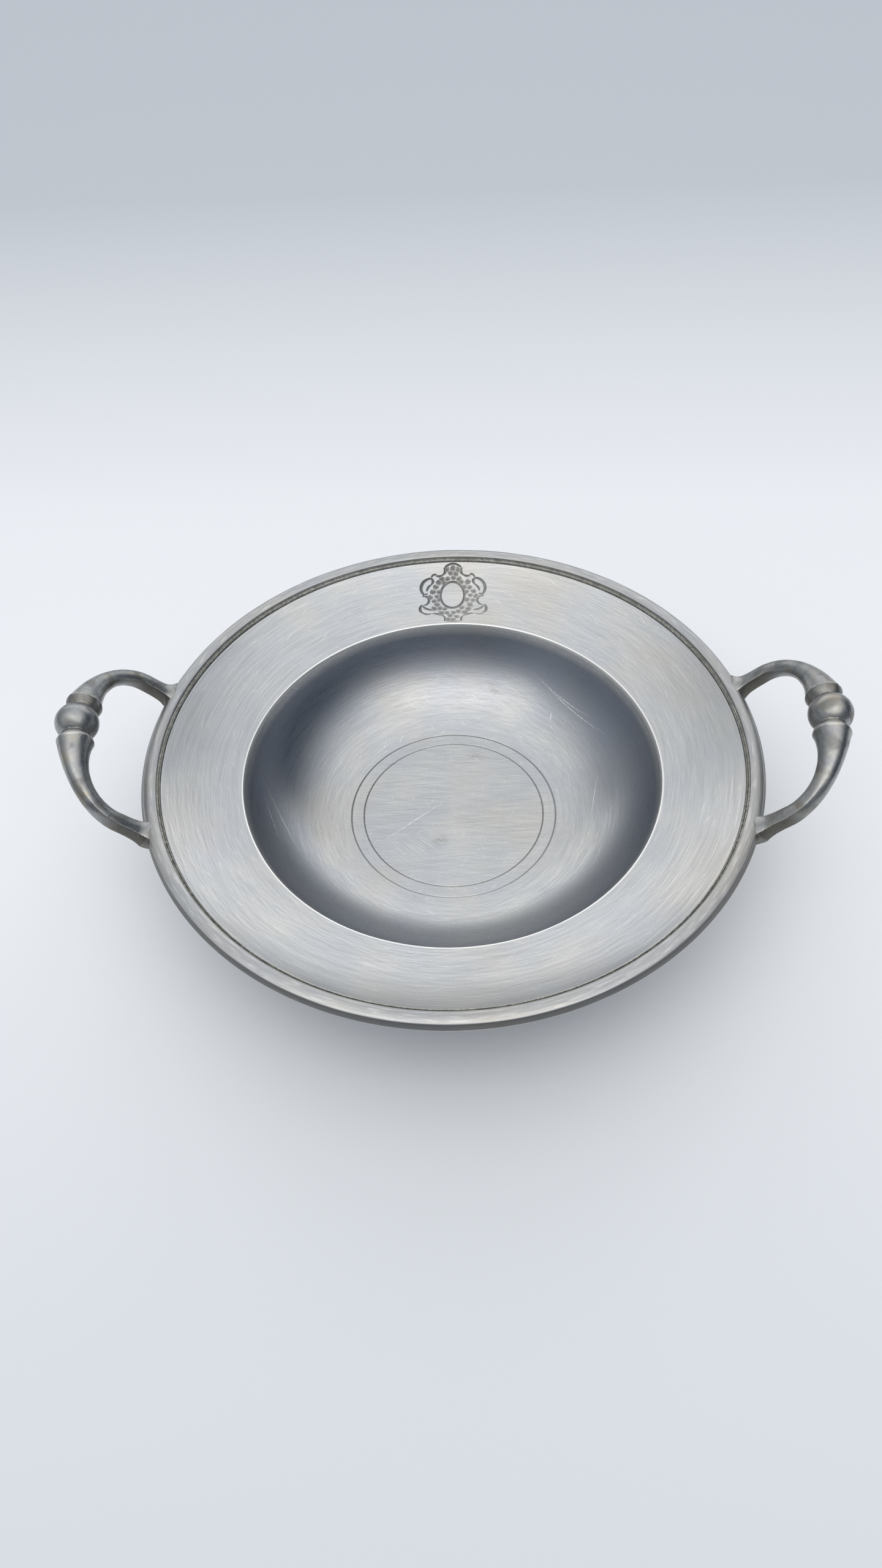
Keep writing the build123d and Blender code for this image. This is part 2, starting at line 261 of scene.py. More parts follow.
def castPewter(name, look):
    # Pewter from a mould, filed by hand: a darker satin grey than the bowl's,
    # uneven, brown in hollows, bright on edges, and with painted shade where the meshes carry it
    material = newMaterial(name)
    tree = material.node_tree
    place = placeInMm(tree)
    mottle = addNode(tree, "ShaderNodeTexNoise",
                     {"Vector": place, "Scale": 1 / look["mottle"], "Detail": 5, "Roughness": 0.6})
    grain = addNode(tree, "ShaderNodeTexNoise",
                    {"Vector": place, "Scale": 1 / look["grain"], "Detail": 4, "Roughness": 0.65})
    cuts = straightLines(tree, place, look["cutTurn"], look["cutSpacing"], look["cutRun"])
    cuts = addNode(tree, "ShaderNodeMapRange",
                   {"Value": cuts, "From Min": 0.64, "From Max": 0.76, "To Max": 0.4})
    pale = addNode(tree, "ShaderNodeMapRange", {"Value": mottle, "From Min": 0.35, "From Max": 0.65})
    stain = addNode(tree, "ShaderNodeMapRange",
                    {"Value": mottle, "From Min": 0.56, "From Max": 0.72, "To Max": 0.6})
    patinaAndShade = addNode(tree, "ShaderNodeAttribute", give="Fac", attribute_name="patinaAndShade")
    wearAndHighlight = addNode(tree, "ShaderNodeAttribute", give="Fac", attribute_name="wearAndHighlight")
    colour = look["dark"]
    for factor, tone in ((pale, "light"), (stain, "warm"), (patinaAndShade, "patinaAndShade"), (cuts, "scratch"),
                         (wearAndHighlight, "wearAndHighlight")):
        colour = addNode(tree, "ShaderNodeMix", {"Factor": factor, "A": colour, "B": look[tone]},
                         data_type="RGBA")
    rough = addNode(tree, "ShaderNodeMapRange",
                    {"Value": grain, "From Min": 0.3, "From Max": 0.7,
                     "To Min": look["roughness"] - 0.06, "To Max": look["roughness"] + 0.1})
    rough = addNode(tree, "ShaderNodeMath", {0: patinaAndShade, 1: look["dulling"], 2: rough},
                    operation="MULTIPLY_ADD")
    height = addNode(tree, "ShaderNodeMath", {0: cuts, 1: -0.6, 2: grain}, operation="MULTIPLY_ADD")
    bump = addNode(tree, "ShaderNodeBump",
                   {"Strength": 0.5, "Distance": look["relief"] * mm, "Height": height})
    shader = addNode(tree, "ShaderNodeBsdfPrincipled", {
        "Base Color": colour, "Metallic": 1, "Roughness": rough, "Normal": bump})
    addNode(tree, "ShaderNodeOutputMaterial", {"Surface": shader})
    return material


# Bowl: one outline, turned round the axis in a coarse sector and, under the cartouche, a fine one

bowlSizes = {
    "mouthRadius": 80, "mouthHeight": 33, "floorRadius": 37, "floorHeight": 3.2, "wall": 2, "flangeSag": 1.2,
    "mouthRound": 0.15, "landRadius": 108, "edgeRadius": 114.7,
    "underLand": 0.35, "underMouth": (0.9, 0.1), "underTurn": 0.985,  # bends of the outside
    "footRadius": 38.5, "footWidth": 5.5, "footRound": 0.5,
    "lineRadii": (36.5, 41.5), "lineWidth": 0.55, "lineDepth": 0.28, "lineMargin": 1,
    "fineSector": 25, "fineSteps": 186, "coarseSteps": 120,
    "waver": 0.12, "waverLength": 24, "waverFrom": (45, 70), "waverTo": (105, 108),  # the last two are radii
    "lineDark": 0.5, "lineVary": 0.25, "varyLength": 30, "landDark": 0.2,
    "mouthHighlight": 0.9, "mouthHighlightFade": (0.2, 0.8),
}

cartouche = {  # u runs to the right and v up the flange from the mouth of the well
    "middle": (-0.3, 15.1), "oval": (5.3, 6.35), "ovalGroove": 0.95, "ovalDome": 0.35, "ovalSink": 0.12,
    "reach": 17.5, "depth": 0.5, "fieldDepth": 0.1,
    "bodyMiddle": 14.6, "body": (10.3, 9.9), "crest": (3.3, 20, 28.9), "foot": (3.4, 2.2, 7),
    "biteAcross": -0.012, "biteUp": 0.01, "biteMiddle": 15,  # the stamp bit deeper at the upper left
    "dimple": 2.45, "dimpleDepth": 0.34, "dimpleSize": (0.46, 0.58), "dimpleTilt": 0.25, "stray": 0.4,
    "rows": 13, "rowStart": 2.6, "rowShare": 0.84, "columns": 5, "ovalGap": 0.7, "strokeGap": 0.1, "seed": 4,
    "ovalDark": 0.6, "strokeDark": 0.62, "dimpleDark": 0.72,
    "strokes": (  # strokes of the right half as start, middle and end, with a width
        ((3.9, 27.6), (3.5, 26.0), (4.4, 24.9), 1.1), ((4.4, 24.9), (5.9, 24.2), (7.4, 24.5), 0.9),
        ((7.4, 24.9), (8.6, 25.0), (9.5, 23.9), 0.8), ((9.7, 23.4), (13.7, 21.2), (13.1, 16.4), 1.35),
        ((9.6, 23.2), (8.9, 22.0), (9.4, 20.9), 1.1), ((9.5, 20.6), (10.9, 19.5), (11.6, 17.8), 0.9),
        ((13.3, 15.6), (12.5, 16.1), (11.2, 16.2), 0.7), ((13.1, 15.2), (10.6, 13.2), (12.9, 10.9), 1.0),
        ((13.7, 11.0), (14.6, 9.2), (13.3, 7.1), 1.15), ((13.3, 7.1), (11.6, 6.1), (9.7, 6.3), 0.7),
        ((13.4, 10.5), (11.8, 9.0), (9.1, 8.1), 0.95), ((9.0, 6.3), (6.6, 5.7), (4.4, 4.7), 0.85),
        ((4.4, 4.7), (3.5, 3.4), (3.7, 2.1), 0.85),
    ),
    "capStrokes": (((-3.5, 28.1), (0, 29.5), (3.5, 28.1), 0.9), ((-3.7, 2.1), (0, 1.6), (3.7, 2.1), 0.7)),
}


def circleThrough(start, middle, end):  # centre and radius of the circle through three points
    (ax, ay), (bx, by), (cx, cy) = start, middle, end
    d = 2 * (ax * (by - cy) + bx * (cy - ay) + cx * (ay - by))
    x = ((ax**2 + ay**2) * (by - cy) + (bx**2 + by**2) * (cy - ay) + (cx**2 + cy**2) * (ay - by)) / d
    y = ((ax**2 + ay**2) * (cx - bx) + (bx**2 + by**2) * (ax - cx) + (cx**2 + cy**2) * (bx - ax)) / d
    return (x, y), math.hypot(ax - x, ay - y)


def arcPoint(start, middle, end, share):  # a point on the arc from start through middle to end
    (x, y), radius = circleThrough(start, middle, end)
    first, via, last = [math.atan2(p[1] - y, p[0] - x) for p in (start, middle, end)]
    toMiddle, toEnd = (via - first) % (2 * math.pi), (last - first) % (2 * math.pi)
    turn = first + share * (toEnd if toMiddle < toEnd else toEnd - 2 * math.pi)
    return x + radius * math.cos(turn), y + radius * math.sin(turn)


def strokeShape(stroke, flip):  # an arc by its circle, first angle and sweep, and where it can reach
    start, middle, end = [(flip * x, y) for x, y in stroke[:3]]
    centre, radius = circleThrough(start, middle, end)
    angles = [math.atan2(y - centre[1], x - centre[0]) for x, y in (start, middle, end)]
    toMiddle, toEnd = [(a - angles[0]) % (2 * math.pi) for a in angles[1:]]
    first, sweep = (angles[0], toEnd) if toMiddle < toEnd else (angles[2], 2 * math.pi - toEnd)
    reach = max(math.dist(middle, start), math.dist(middle, end)) + 2
    return {"centre": centre, "radius": radius, "first": first, "sweep": sweep, "ends": (start, end),
            "middle": middle, "reach": reach, "width": stroke[3]}


def strokeDistance(shape, u, v):  # distance from a point to the arc, and how far along it lies
    middle, reach = shape["middle"], shape["reach"]
    if abs(u - middle[0]) > reach or abs(v - middle[1]) > reach:
        return reach, 0
    x, y = shape["centre"]
    turn = (math.atan2(v - y, u - x) - shape["first"]) % (2 * math.pi)
    if turn <= shape["sweep"]:
        return abs(math.hypot(u - x, v - y) - shape["radius"]), turn / shape["sweep"]
    return min((math.hypot(u - endX, v - endY), 0) for endX, endY in shape["ends"])


strokeShapes = [strokeShape(s, flip) for s in cartouche["strokes"] for flip in (1, -1)]
strokeShapes += [strokeShape(s, 1) for s in cartouche["capStrokes"]]


def inField(u, v):  # the punched ground of the cartouche: body, crest and foot
    s = cartouche
    if math.hypot(u / s["body"][0], (v - s["bodyMiddle"]) / s["body"][1]) < 1:
        return True
    return any(abs(u) < half and low < v < high for half, low, high in (s["crest"], s["foot"]))


def dimplePlaces():  # a loose honeycomb of punch marks between the oval and the outline
    s = cartouche
    chance = random.Random(s["seed"])
    step, stray = s["dimple"], s["stray"]
    (ou, ov), (ow, oh) = s["middle"], s["oval"]
    places = []
    for row in range(s["rows"]):
        for column in range(-s["columns"], s["columns"] + 1):
            u = (column + 0.5 * (row % 2)) * step + chance.uniform(-stray, stray)
            v = s["rowStart"] + row * step * s["rowShare"] + chance.uniform(-stray, stray)
            size = step * chance.uniform(*s["dimpleSize"])
            tilt = chance.uniform(-s["dimpleTilt"], s["dimpleTilt"])
            clear = math.hypot((u - ou) / (ow + s["ovalGap"]), (v - ov) / (oh + s["ovalGap"])) > 1
            free = min(strokeDistance(a, u, v)[0] - a["width"] / 2 for a in strokeShapes) > s["strokeGap"]
            if clear and free and inField(u, v):
                places.append((u, v, size, tilt))
    return places


dimples = dimplePlaces()


def cartoucheRelief(u, v):  # height of the stamped relief over the flange, and how dark its hollows are
    s = cartouche
    (ou, ov), (ow, oh) = s["middle"], s["oval"]
    struck = 1 + s["biteAcross"] * u + s["biteUp"] * (v - s["biteMiddle"])
    oval = math.hypot((u - ou) / ow, (v - ov) / oh)
    fromOval = (oval - 1) * (ow + oh) / 2
    height = 0.0
    if inField(u, v) and fromOval > 0:
        height -= s["fieldDepth"]
    if fromOval < 0:
        height = s["ovalDome"] * (1 - oval**2) - s["ovalSink"]
    rim = max(0.0, 1 - (fromOval / (s["ovalGroove"] / 2)) ** 2)
    cut, dark = s["depth"] * rim, s["ovalDark"] * rim
    for shape in strokeShapes:
        away, along = strokeDistance(shape, u, v)
        taper = 0.55 + 0.45 * math.sin(math.pi * min(1, max(0, along)))  # thin at the ends
        half = shape["width"] / 2 * taper
        if away < half:
            part = 1 - (away / half) ** 2
            cut = max(cut, s["depth"] * part)
            dark = max(dark, s["strokeDark"] * part)
    for du, dv, size, tilt in dimples:
        away = math.hypot(u - du - tilt * (v - dv), v - dv) / size
        if away < 1:
            part = (1 - away**2) ** 0.7  # a flat bottom with a steep edge
            cut = max(cut, s["dimpleDepth"] * part)
            dark = max(dark, s["dimpleDark"] * part)
    return height - cut * struck, dark * struck


def bowlOutline(bm):
    # open outline of the section: along the floor, up the well, over the edge and back below to the axis
    s = bowlSizes
    wall = s["wall"]
    rise, span = s["mouthHeight"] - s["floorHeight"], s["mouthRadius"] - s["floorRadius"]
    wellArc = (span**2 + rise**2) / (2 * rise)
    wellTurn = math.asin(span / wellArc)
    wellCentre = Vector((s["floorRadius"], 0, s["floorHeight"] + wellArc))
    mouth, land = Vector((s["mouthRadius"], 0, s["mouthHeight"])), Vector((s["landRadius"], 0, landHeight))
    half = (land - mouth).length / 2
    flangeArc = (half**2 + s["flangeSag"] ** 2) / (2 * s["flangeSag"])
    flangeTurn = 2 * math.asin(half / flangeArc)
    normal = Vector((mouth.z - land.z, 0, land.x - mouth.x)).normalized()
    flangeCentre = (mouth + land) / 2 + normal * (flangeArc - s["flangeSag"])
    verts = [bm.verts.new((0, 0, s["floorHeight"]))]

    def lineTo(x, z, parts):
        start = verts[-1].co.copy()
        for i in range(parts):
            verts.extend(bmesh.ops.extrude_vert_indiv(bm, verts=[verts[-1]])["verts"])
            verts[-1].co = start.lerp(Vector((x, 0, z)), (i + 1) / parts)

    def arcBy(centre, turn, parts):
        spun = bmesh.ops.spin(bm, geom=[verts[-1]], cent=centre, axis=(0, -1, 0), angle=turn, steps=parts)
        verts.append([v for v in spun["geom_last"] if isinstance(v, bmesh.types.BMVert)][0])

    lineTo(s["lineRadii"][0] - s["lineMargin"], s["floorHeight"], 8)
    lineTo(s["floorRadius"], s["floorHeight"], 15)
    fine = math.asin((s["lineRadii"][1] + s["lineMargin"] - s["floorRadius"]) / wellArc)
    arcBy(wellCentre, fine, 46)
    arcBy(wellCentre, wellTurn - fine, 30)
    arcBy(flangeCentre, flangeTurn, 140)
    lineTo(s["edgeRadius"] - wall / 2, landHeight, 4)
    arcBy((s["edgeRadius"] - wall / 2, 0, landHeight - wall / 2), -math.pi, 12)
    lineTo(land.x + s["underLand"], land.z - wall, 2)
    outX, outDown = s["underMouth"]
    lineTo(mouth.x + outX, mouth.z - wall - outDown, 12)
    outArc = wellArc + wall
    outTurn = math.asin(min(1, (mouth.x + outX - wellCentre.x) / outArc)) * s["underTurn"]
    lineTo(wellCentre.x + outArc * math.sin(outTurn), wellCentre.z - outArc * math.cos(outTurn), 1)
    footOut, footIn = s["footRadius"], s["footRadius"] - s["footWidth"]
    arcBy(wellCentre, math.asin((footOut - wellCentre.x) / outArc) - outTurn, 26)
    lineTo(footOut, s["footRound"], 1)
    lineTo(footOut - s["footRound"], 0, 2)
    lineTo(footIn + s["footRound"], 0, 2)
    lineTo(footIn, s["footRound"], 2)
    lineTo(footIn, s["floorHeight"] - wall, 1)
    lineTo(0, s["floorHeight"] - wall, 8)


def buildBowl(material):
    s = bowlSizes
    bm = bmesh.new()
    bowlOutline(bm)
    section = bm.verts[:] + bm.edges[:]
    half = math.radians(s["fineSector"]) / 2
    bmesh.ops.rotate(bm, matrix=Matrix.Rotation(math.pi / 2 - half, 3, "Z"), verts=bm.verts[:])
    axis = {"cent": (0, 0, 0), "axis": (0, 0, 1)}
    fine = bmesh.ops.spin(bm, geom=section, angle=2 * half, steps=s["fineSteps"], **axis)
    bmesh.ops.spin(bm, geom=fine["geom_last"], angle=2 * math.pi - 2 * half, steps=s["coarseSteps"], **axis)
    bmesh.ops.remove_doubles(bm, verts=bm.verts, dist=mergeGap)
    bmesh.ops.recalc_face_normals(bm, faces=bm.faces)
    near = 0.01
    mouthEdge = [e for e in bm.edges if all(abs(math.hypot(v.co.x, v.co.y) - s["mouthRadius"]) < near
                                            and abs(v.co.z - s["mouthHeight"]) < near for v in e.verts)]
    bmesh.ops.bevel(bm, geom=mouthEdge, offset=s["mouthRound"], affect="EDGES", segments=2, profile=0.5,
                    material=-1)
    bm.normal_update()
    dark, wearAndHighlightLayer = bm.verts.layers.float.new("patinaAndShade"), bm.verts.layers.float.new("wearAndHighlight")
    slant = math.hypot(s["landRadius"] - s["mouthRadius"], landHeight - s["mouthHeight"])
    lean = (s["landRadius"] - s["mouthRadius"]) / slant
    moves = []
    for v in bm.verts:
        radius = math.hypot(v.co.x, v.co.y)
        upper = v.normal.z > 0.05 and v.co.z > s["floorHeight"] - 0.5 and radius < s["landRadius"] + 6
        shift = s["waver"] * noise.noise(v.co / s["waverLength"])
        shift *= smoothStep(*s["waverFrom"], radius) * (1 - smoothStep(*s["waverTo"], radius))
        if upper:
            for lineRadius in s["lineRadii"]:
                away = abs(radius - lineRadius) / (s["lineWidth"] / 2)
                if away < 1.6:
                    groove = math.exp(-2 * away**2)
                    shift -= s["lineDepth"] * groove
                    tone = s["lineDark"] + s["lineVary"] * noise.noise(v.co / s["varyLength"])
                    v[dark] = max(v[dark], tone * groove)
            onLand = smoothStep(s["landRadius"] + 0.05, s["landRadius"] + 0.2, radius)
            v[dark] = max(v[dark], s["landDark"] * onLand)
            # painted highlight: the mouth edge is lightened along a thin band
            edge = math.hypot(radius - s["mouthRadius"], v.co.z - s["mouthHeight"])
            v[wearAndHighlightLayer] = s["mouthHighlight"] * (1 - smoothStep(*s["mouthHighlightFade"], edge))
            if v.co.y > 0 and s["mouthRadius"] < radius < s["landRadius"]:
                across = math.atan2(-v.co.x, v.co.y) * -radius
                up = (radius - s["mouthRadius"]) / lean
                if abs(across) < cartouche["reach"]:
                    height, shade = cartoucheRelief(across, up)
                    shift += height
                    v[dark] = max(v[dark], shade)
        if shift:
            moves.append((v, v.normal * shift))
    for v, move in moves:
        v.co += move
    newPiece("turned_bowl", bm, material, "pewter", "bowl")


# Bead ring and the solder line inside it

beadSizes = {
    "width": 5.6, "crownInset": 3.3, "innerWall": 1.9, "ridgeInset": 1.1, "ridgeDrop": 0.5, "outerWall": 0.45,
    "flankShare": 0.86, "steps": 420, "waver": 0.07, "waverLength": 9,
    "tone": 0.2, "flankShade": 0.68, "footDark": 0.3, "footVary": 0.4, "footLength": 16,
    "streakWearAndHighlight": 0.25, "streakLength": 5, "streakWidth": 0.7, "ridgeHighlight": 0.6, "ridgeLength": 14,
}


def closedOutline(bm, points):  # radius and height of each corner
    verts = [bm.verts.new((points[0][0], 0, points[0][1]))]
    for radius, height in points[1:]:
        verts += bmesh.ops.extrude_vert_indiv(bm, verts=[verts[-1]])["verts"]
        verts[-1].co = (radius, 0, height)
    bm.edges.new((verts[-1], verts[0]))


def turnRound(bm, steps):
    bmesh.ops.spin(bm, geom=bm.verts[:] + bm.edges[:], cent=(0, 0, 0), axis=(0, 0, 1), angle=2 * math.pi,
                   steps=steps, use_merge=True)
    bmesh.ops.remove_doubles(bm, verts=bm.verts, dist=mergeGap)
    bmesh.ops.recalc_face_normals(bm, faces=bm.faces)


def beadSection(bm):  # flat below, steep outside, a ridge, and a low dome down to an upright inner wall
    s = beadSizes
    inner, crown = rimRadius - s["width"], rimRadius - s["crownInset"]
    innerTop = landHeight + s["innerWall"]
    ridge = (rimRadius - s["ridgeInset"], rimHeight - s["ridgeDrop"])
    between = ((crown + ridge[0]) / 2, rimHeight - s["ridgeDrop"] / 4)
    wallTop = (rimRadius, landHeight + s["outerWall"])
    belowRidge = tuple(low + s["flankShare"] * (high - low) for low, high in zip(wallTop, ridge))
    points = [(inner, landHeight), (rimRadius, landHeight), wallTop, belowRidge]
    points += [arcPoint(ridge, between, (crown, rimHeight), i / 6) for i in range(7)]
    domeRadius = ((crown - inner) ** 2 + (rimHeight - innerTop) ** 2) / (2 * (rimHeight - innerTop))
    domeTurn = math.asin((crown - inner) / domeRadius)
    for i in range(1, 13):
        turn = domeTurn * i / 12
        points.append((crown - domeRadius * math.sin(turn), rimHeight - domeRadius * (1 - math.cos(turn))))
    closedOutline(bm, points)


def buildBead(material):
    s = beadSizes
    inner, ridge = rimRadius - s["width"], rimRadius - s["ridgeInset"]
    bm = bmesh.new()
    beadSection(bm)
    turnRound(bm, s["steps"])
    bm.normal_update()
    dark, wearAndHighlightLayer = bm.verts.layers.float.new("patinaAndShade"), bm.verts.layers.float.new("wearAndHighlight")
    for v in bm.verts:
        radius = math.hypot(v.co.x, v.co.y)
        atFoot = 1 - smoothStep(landHeight + 0.5, landHeight + 1.5, v.co.z)
        atFoot *= 1 - smoothStep(inner, inner + 1.2, radius)
        brown = s["footDark"] + s["footVary"] * noise.noise(v.co / s["footLength"])
        v[dark] = max(s["tone"], brown * atFoot)
        around = math.atan2(v.co.y, v.co.x) * radius
        # worn streaks on the crown, which also paint its highlights
        streak = noise.noise((around / s["streakLength"], radius / s["streakWidth"], 0))
        onCrown = smoothStep(rimHeight - 0.7, rimHeight - 0.1, v.co.z)
        v[wearAndHighlightLayer] = s["streakWearAndHighlight"] * onCrown * smoothStep(0.1, 0.6, streak)
        # painted highlight: a light line along the ridge
        if abs(radius - ridge) < 0.1:
            v[dark] = 0
            v[wearAndHighlightLayer] = s["ridgeHighlight"] * (0.7 + 0.6 * noise.noise(v.co / s["ridgeLength"]))
        # painted shade: the outer flank beyond the ridge is darkened
        elif radius > ridge:
            v[dark] = s["flankShade"]
        if v.co.z > landHeight + 0.5:
            v.co += v.normal * s["waver"] * noise.noise(v.co / s["waverLength"])
    newPiece("bead_ring", bm, material, "pewter", "rim_bead")


solderSizes = {
    "inset": 0.05, "width": 0.85, "height": 0.8, "lift": 0.1, "valley": 0.45, "climb": 1.5, "steps": 1400,
    "grain": 0.05, "lump": 0.9, "swell": 9, "valleyShade": 0.4, "valleyWidth": 0.22, "pitDark": 0.2,
    "wearAndHighlight": 0.4, "wearLength": 40,
}


def buildSeam(material):
    s = solderSizes
    inner, outer = bowlSizes["landRadius"] + s["inset"], rimRadius - beadSizes["width"]
    valley = inner + s["width"]
    parts = 8
    bm = bmesh.new()
    points = [(inner, landHeight)]
    for i in range(1, parts):
        bulge = s["height"] * math.sin(math.pi * i / parts)
        points.append((inner + s["width"] * i / parts, landHeight + s["lift"] + bulge))
    points += [(valley, landHeight + s["valley"]), (outer, landHeight + s["climb"]), (outer, landHeight)]
    closedOutline(bm, points)
    turnRound(bm, s["steps"])
    bm.normal_update()
    dark, wearAndHighlightLayer = bm.verts.layers.float.new("patinaAndShade"), bm.verts.layers.float.new("wearAndHighlight")
    for v in bm.verts:
        if v.co.z > landHeight + 0.05:
            lump = noise.noise(v.co / s["lump"]) + 0.25 * noise.noise(v.co / s["swell"])
            fromValley = math.hypot(v.co.x, v.co.y) - valley
            v.co.z += s["grain"] * lump
            pit = s["pitDark"] * smoothStep(0, 0.6, -lump)
            # painted shade in the valley against the bead, with darker pits among the lumps
            v[dark] = s["valleyShade"] * math.exp(-((fromValley / s["valleyWidth"]) ** 2)) + pit
            bright = smoothStep(0.1, 0.6, lump + 0.4 * noise.noise(v.co / s["wearLength"]))
            v[wearAndHighlightLayer] = s["wearAndHighlight"] * bright * (1 - v[dark])
    newPiece("solder_line", bm, material, "solder", "rim_solder")


# Handles: arms drawn through rings, turned cups and ball, joined by a fine remesh as one casting

handleSizes = {
    "swing": 3.3, "tilt": 46.7, "legSpread": 34, "legWidth": 5.4, "legDepth": 6, "legDrop": 3.3, "legTail": 6,
    "bendStart": 11, "rootFlare": 4.2, "flareHeight": 9, "armRadius": 2.7, "armStart": 1.01,
    "barHeight": 33.4, "cupLean": 6.5, "cupTaper": 3, "cupSwell": 0.3, "lipRadius": 6.5, "lipStep": 0.25,
    "frontLip": 10.0, "backLip": 8.6, "neckRadius": 4.6, "frontNeck": 6.6, "backNeck": 4.8,
    "ballRadius": 7.6, "ballHalf": 5.9, "ballShift": 0.9,  # the ball sits a little nearer the front cup
    "slimShare": 0.5, "crispShare": 0.7, "roundCorner": 0.712, "frontCorner": 0.85, "backCorner": 0.86,
    "underside": landHeight - 2, "ringPoints": 40, "armSteps": 30, "legSteps": 26, "turnSteps": 64,
    "voxel": 0.25, "smoothing": 2, "cast": 0.04, "castLength": 3.2, "fineCast": 0.4, "fineLength": 1.1,
    "hollowDark": 0.8, "edgeWear": 0.95, "cupDark": 0.42, "cupVary": 0.3, "stain": 0.35, "ballStain": 1.3,
    "undersideShade": 0.5, "flankShade": 0.75, "flankTop": 20,
}

rootFillet = {  # how the legs run into the ring, and the collar of solder round them
    "top": 4.5, "hold": 0.1, "curve": 0.075, "frontSpread": 0.3, "backSpread": 1.1,
    "collar": 0.15, "collarTop": 1.8, "sink": 0.1, "depth": 4, "steps": 24,
    "tone": 0.45, "lumpTone": 0.2, "grain": 0.06, "lump": 1.4,
}


def handleFrame(azimuth):  # X across the legs, Y up the slope, Z to the underside
    s = handleSizes
    tilt = math.radians(s["tilt"])
    outward = Vector((math.cos(azimuth), math.sin(azimuth), 0))
    across = Vector((-outward.y, outward.x, 0))
    rise = outward * math.cos(tilt) + Vector((0, 0, math.sin(tilt)))
    seat = outward * math.sqrt(rimRadius**2 - s["legSpread"] ** 2) + Vector((0, 0, rimHeight - s["legDrop"]))
    return Matrix.Translation(seat) @ Matrix((across, rise, across.cross(rise))).transposed().to_4x4()


def armRing(bm, side, lip, share, drop, lift=0, spread=0, grow=0):
    # section across an arm, which bends along part of an ellipse: share runs from 1 at the lip of the cup
    # to 0 at the leg, and drop goes on down the leg
    s = handleSizes
    lean = math.radians(s["cupLean"])
    reach = s["legSpread"] - lip * math.cos(lean)
    climb = s["barHeight"] - lip * math.sin(lean) - s["bendStart"]
    inset = reach**2 / (climb / math.tan(lean) - 2 * reach)
    run = reach + inset
    rise = run * math.sqrt(climb / inset * math.tan(lean))
    turn = share * math.acos(inset / run)
    height = s["bendStart"] + rise * math.sin(turn) - drop
    middle = Vector((side * (s["legSpread"] - run * (1 - math.cos(turn))), height, 0))
    ahead = Vector((-side * run * math.sin(turn), rise * math.cos(turn), 0)).normalized()
    wide = ahead.cross(Vector((0, 0, 1)))
    cup = (s["lipRadius"] - s["lipStep"] - s["armRadius"]) * min(1, share) ** s["cupTaper"]
    flare = s["rootFlare"] * max(0, (s["flareHeight"] - height) / (s["flareHeight"] + s["legTail"])) ** 2
    slim = min(1, share / s["slimShare"])
    halfDepth = s["legDepth"] / 2 + (s["armRadius"] - s["legDepth"] / 2) * slim + cup + grow
    halfWidth = s["legWidth"] / 2 + (s["armRadius"] - s["legWidth"] / 2) * slim + cup
    halfWidth += flare + spread * lift + grow
    crisp = max(0, 1 - share / s["crispShare"])
    front = s["roundCorner"] + (s["frontCorner"] - s["roundCorner"]) * crisp
    back = s["roundCorner"] + (s["backCorner"] - s["roundCorner"]) * crisp
    corners = ((-front, -front), (-front, front), (back, back), (back, -back))
    peaks = ((-1, 0), (0, 1), (1, 0), (0, -1))
    ring = bmesh.ops.create_circle(bm, segments=s["ringPoints"], radius=1)["verts"]
    quarter = s["ringPoints"] // 4
    for i, v in enumerate(ring):
        face, step = divmod(i, quarter)
        points = [(x * (halfDepth + (lift if x < 0 else 0)), y * halfWidth)
                  for x, y in (corners[face], peaks[face], corners[(face + 1) % 4])]
        depth, width = arcPoint(*points, step / quarter)
        v.co = middle + Vector((0, 0, depth)) + wide * width
    return [e for v in ring for e in v.link_edges if e.verts[0] == v]


def rootLift(height):  # how far the top of a leg rises to run into the crown of the ring
    s = rootFillet
    return s["curve"] * max(0, s["top"] - max(height, s["hold"])) ** 2


def bridgeRings(bm, rings):  # a closed skin through rings of edges
    for first, second in zip(rings, rings[1:]):
        bmesh.ops.bridge_loops(bm, edges=first + second)
    for end in (rings[0], rings[-1]):
        bmesh.ops.contextual_create(bm, geom=end)


def cutBelow(bm, height):
    bmesh.ops.bisect_plane(bm, geom=bm.verts[:] + bm.edges[:] + bm.faces[:], plane_co=(0, 0, height),
                           plane_no=(0, 0, -1), clear_outer=True)
    bmesh.ops.holes_fill(bm, edges=[e for e in bm.edges if e.is_boundary])
    bmesh.ops.recalc_face_normals(bm, faces=bm.faces)


def turnProfile(bm, points, along):  # turns a profile of places along and away from an axis through the bar
    out = Vector((-along.y, along.x, 0))
    middle = Vector((0, handleSizes["barHeight"], 0))
    verts = [bm.verts.new(middle + along * points[0][0] + out * points[0][1])]
    for place, radius in points[1:]:
        verts += bmesh.ops.extrude_vert_indiv(bm, verts=[verts[-1]])["verts"]
        verts[-1].co = middle + along * place + out * radius
    profile = verts + [e for v in verts for e in v.link_edges if e.verts[0] == v]
    bmesh.ops.spin(bm, geom=profile, cent=middle, axis=along, angle=2 * math.pi,
                   steps=handleSizes["turnSteps"], use_merge=True)


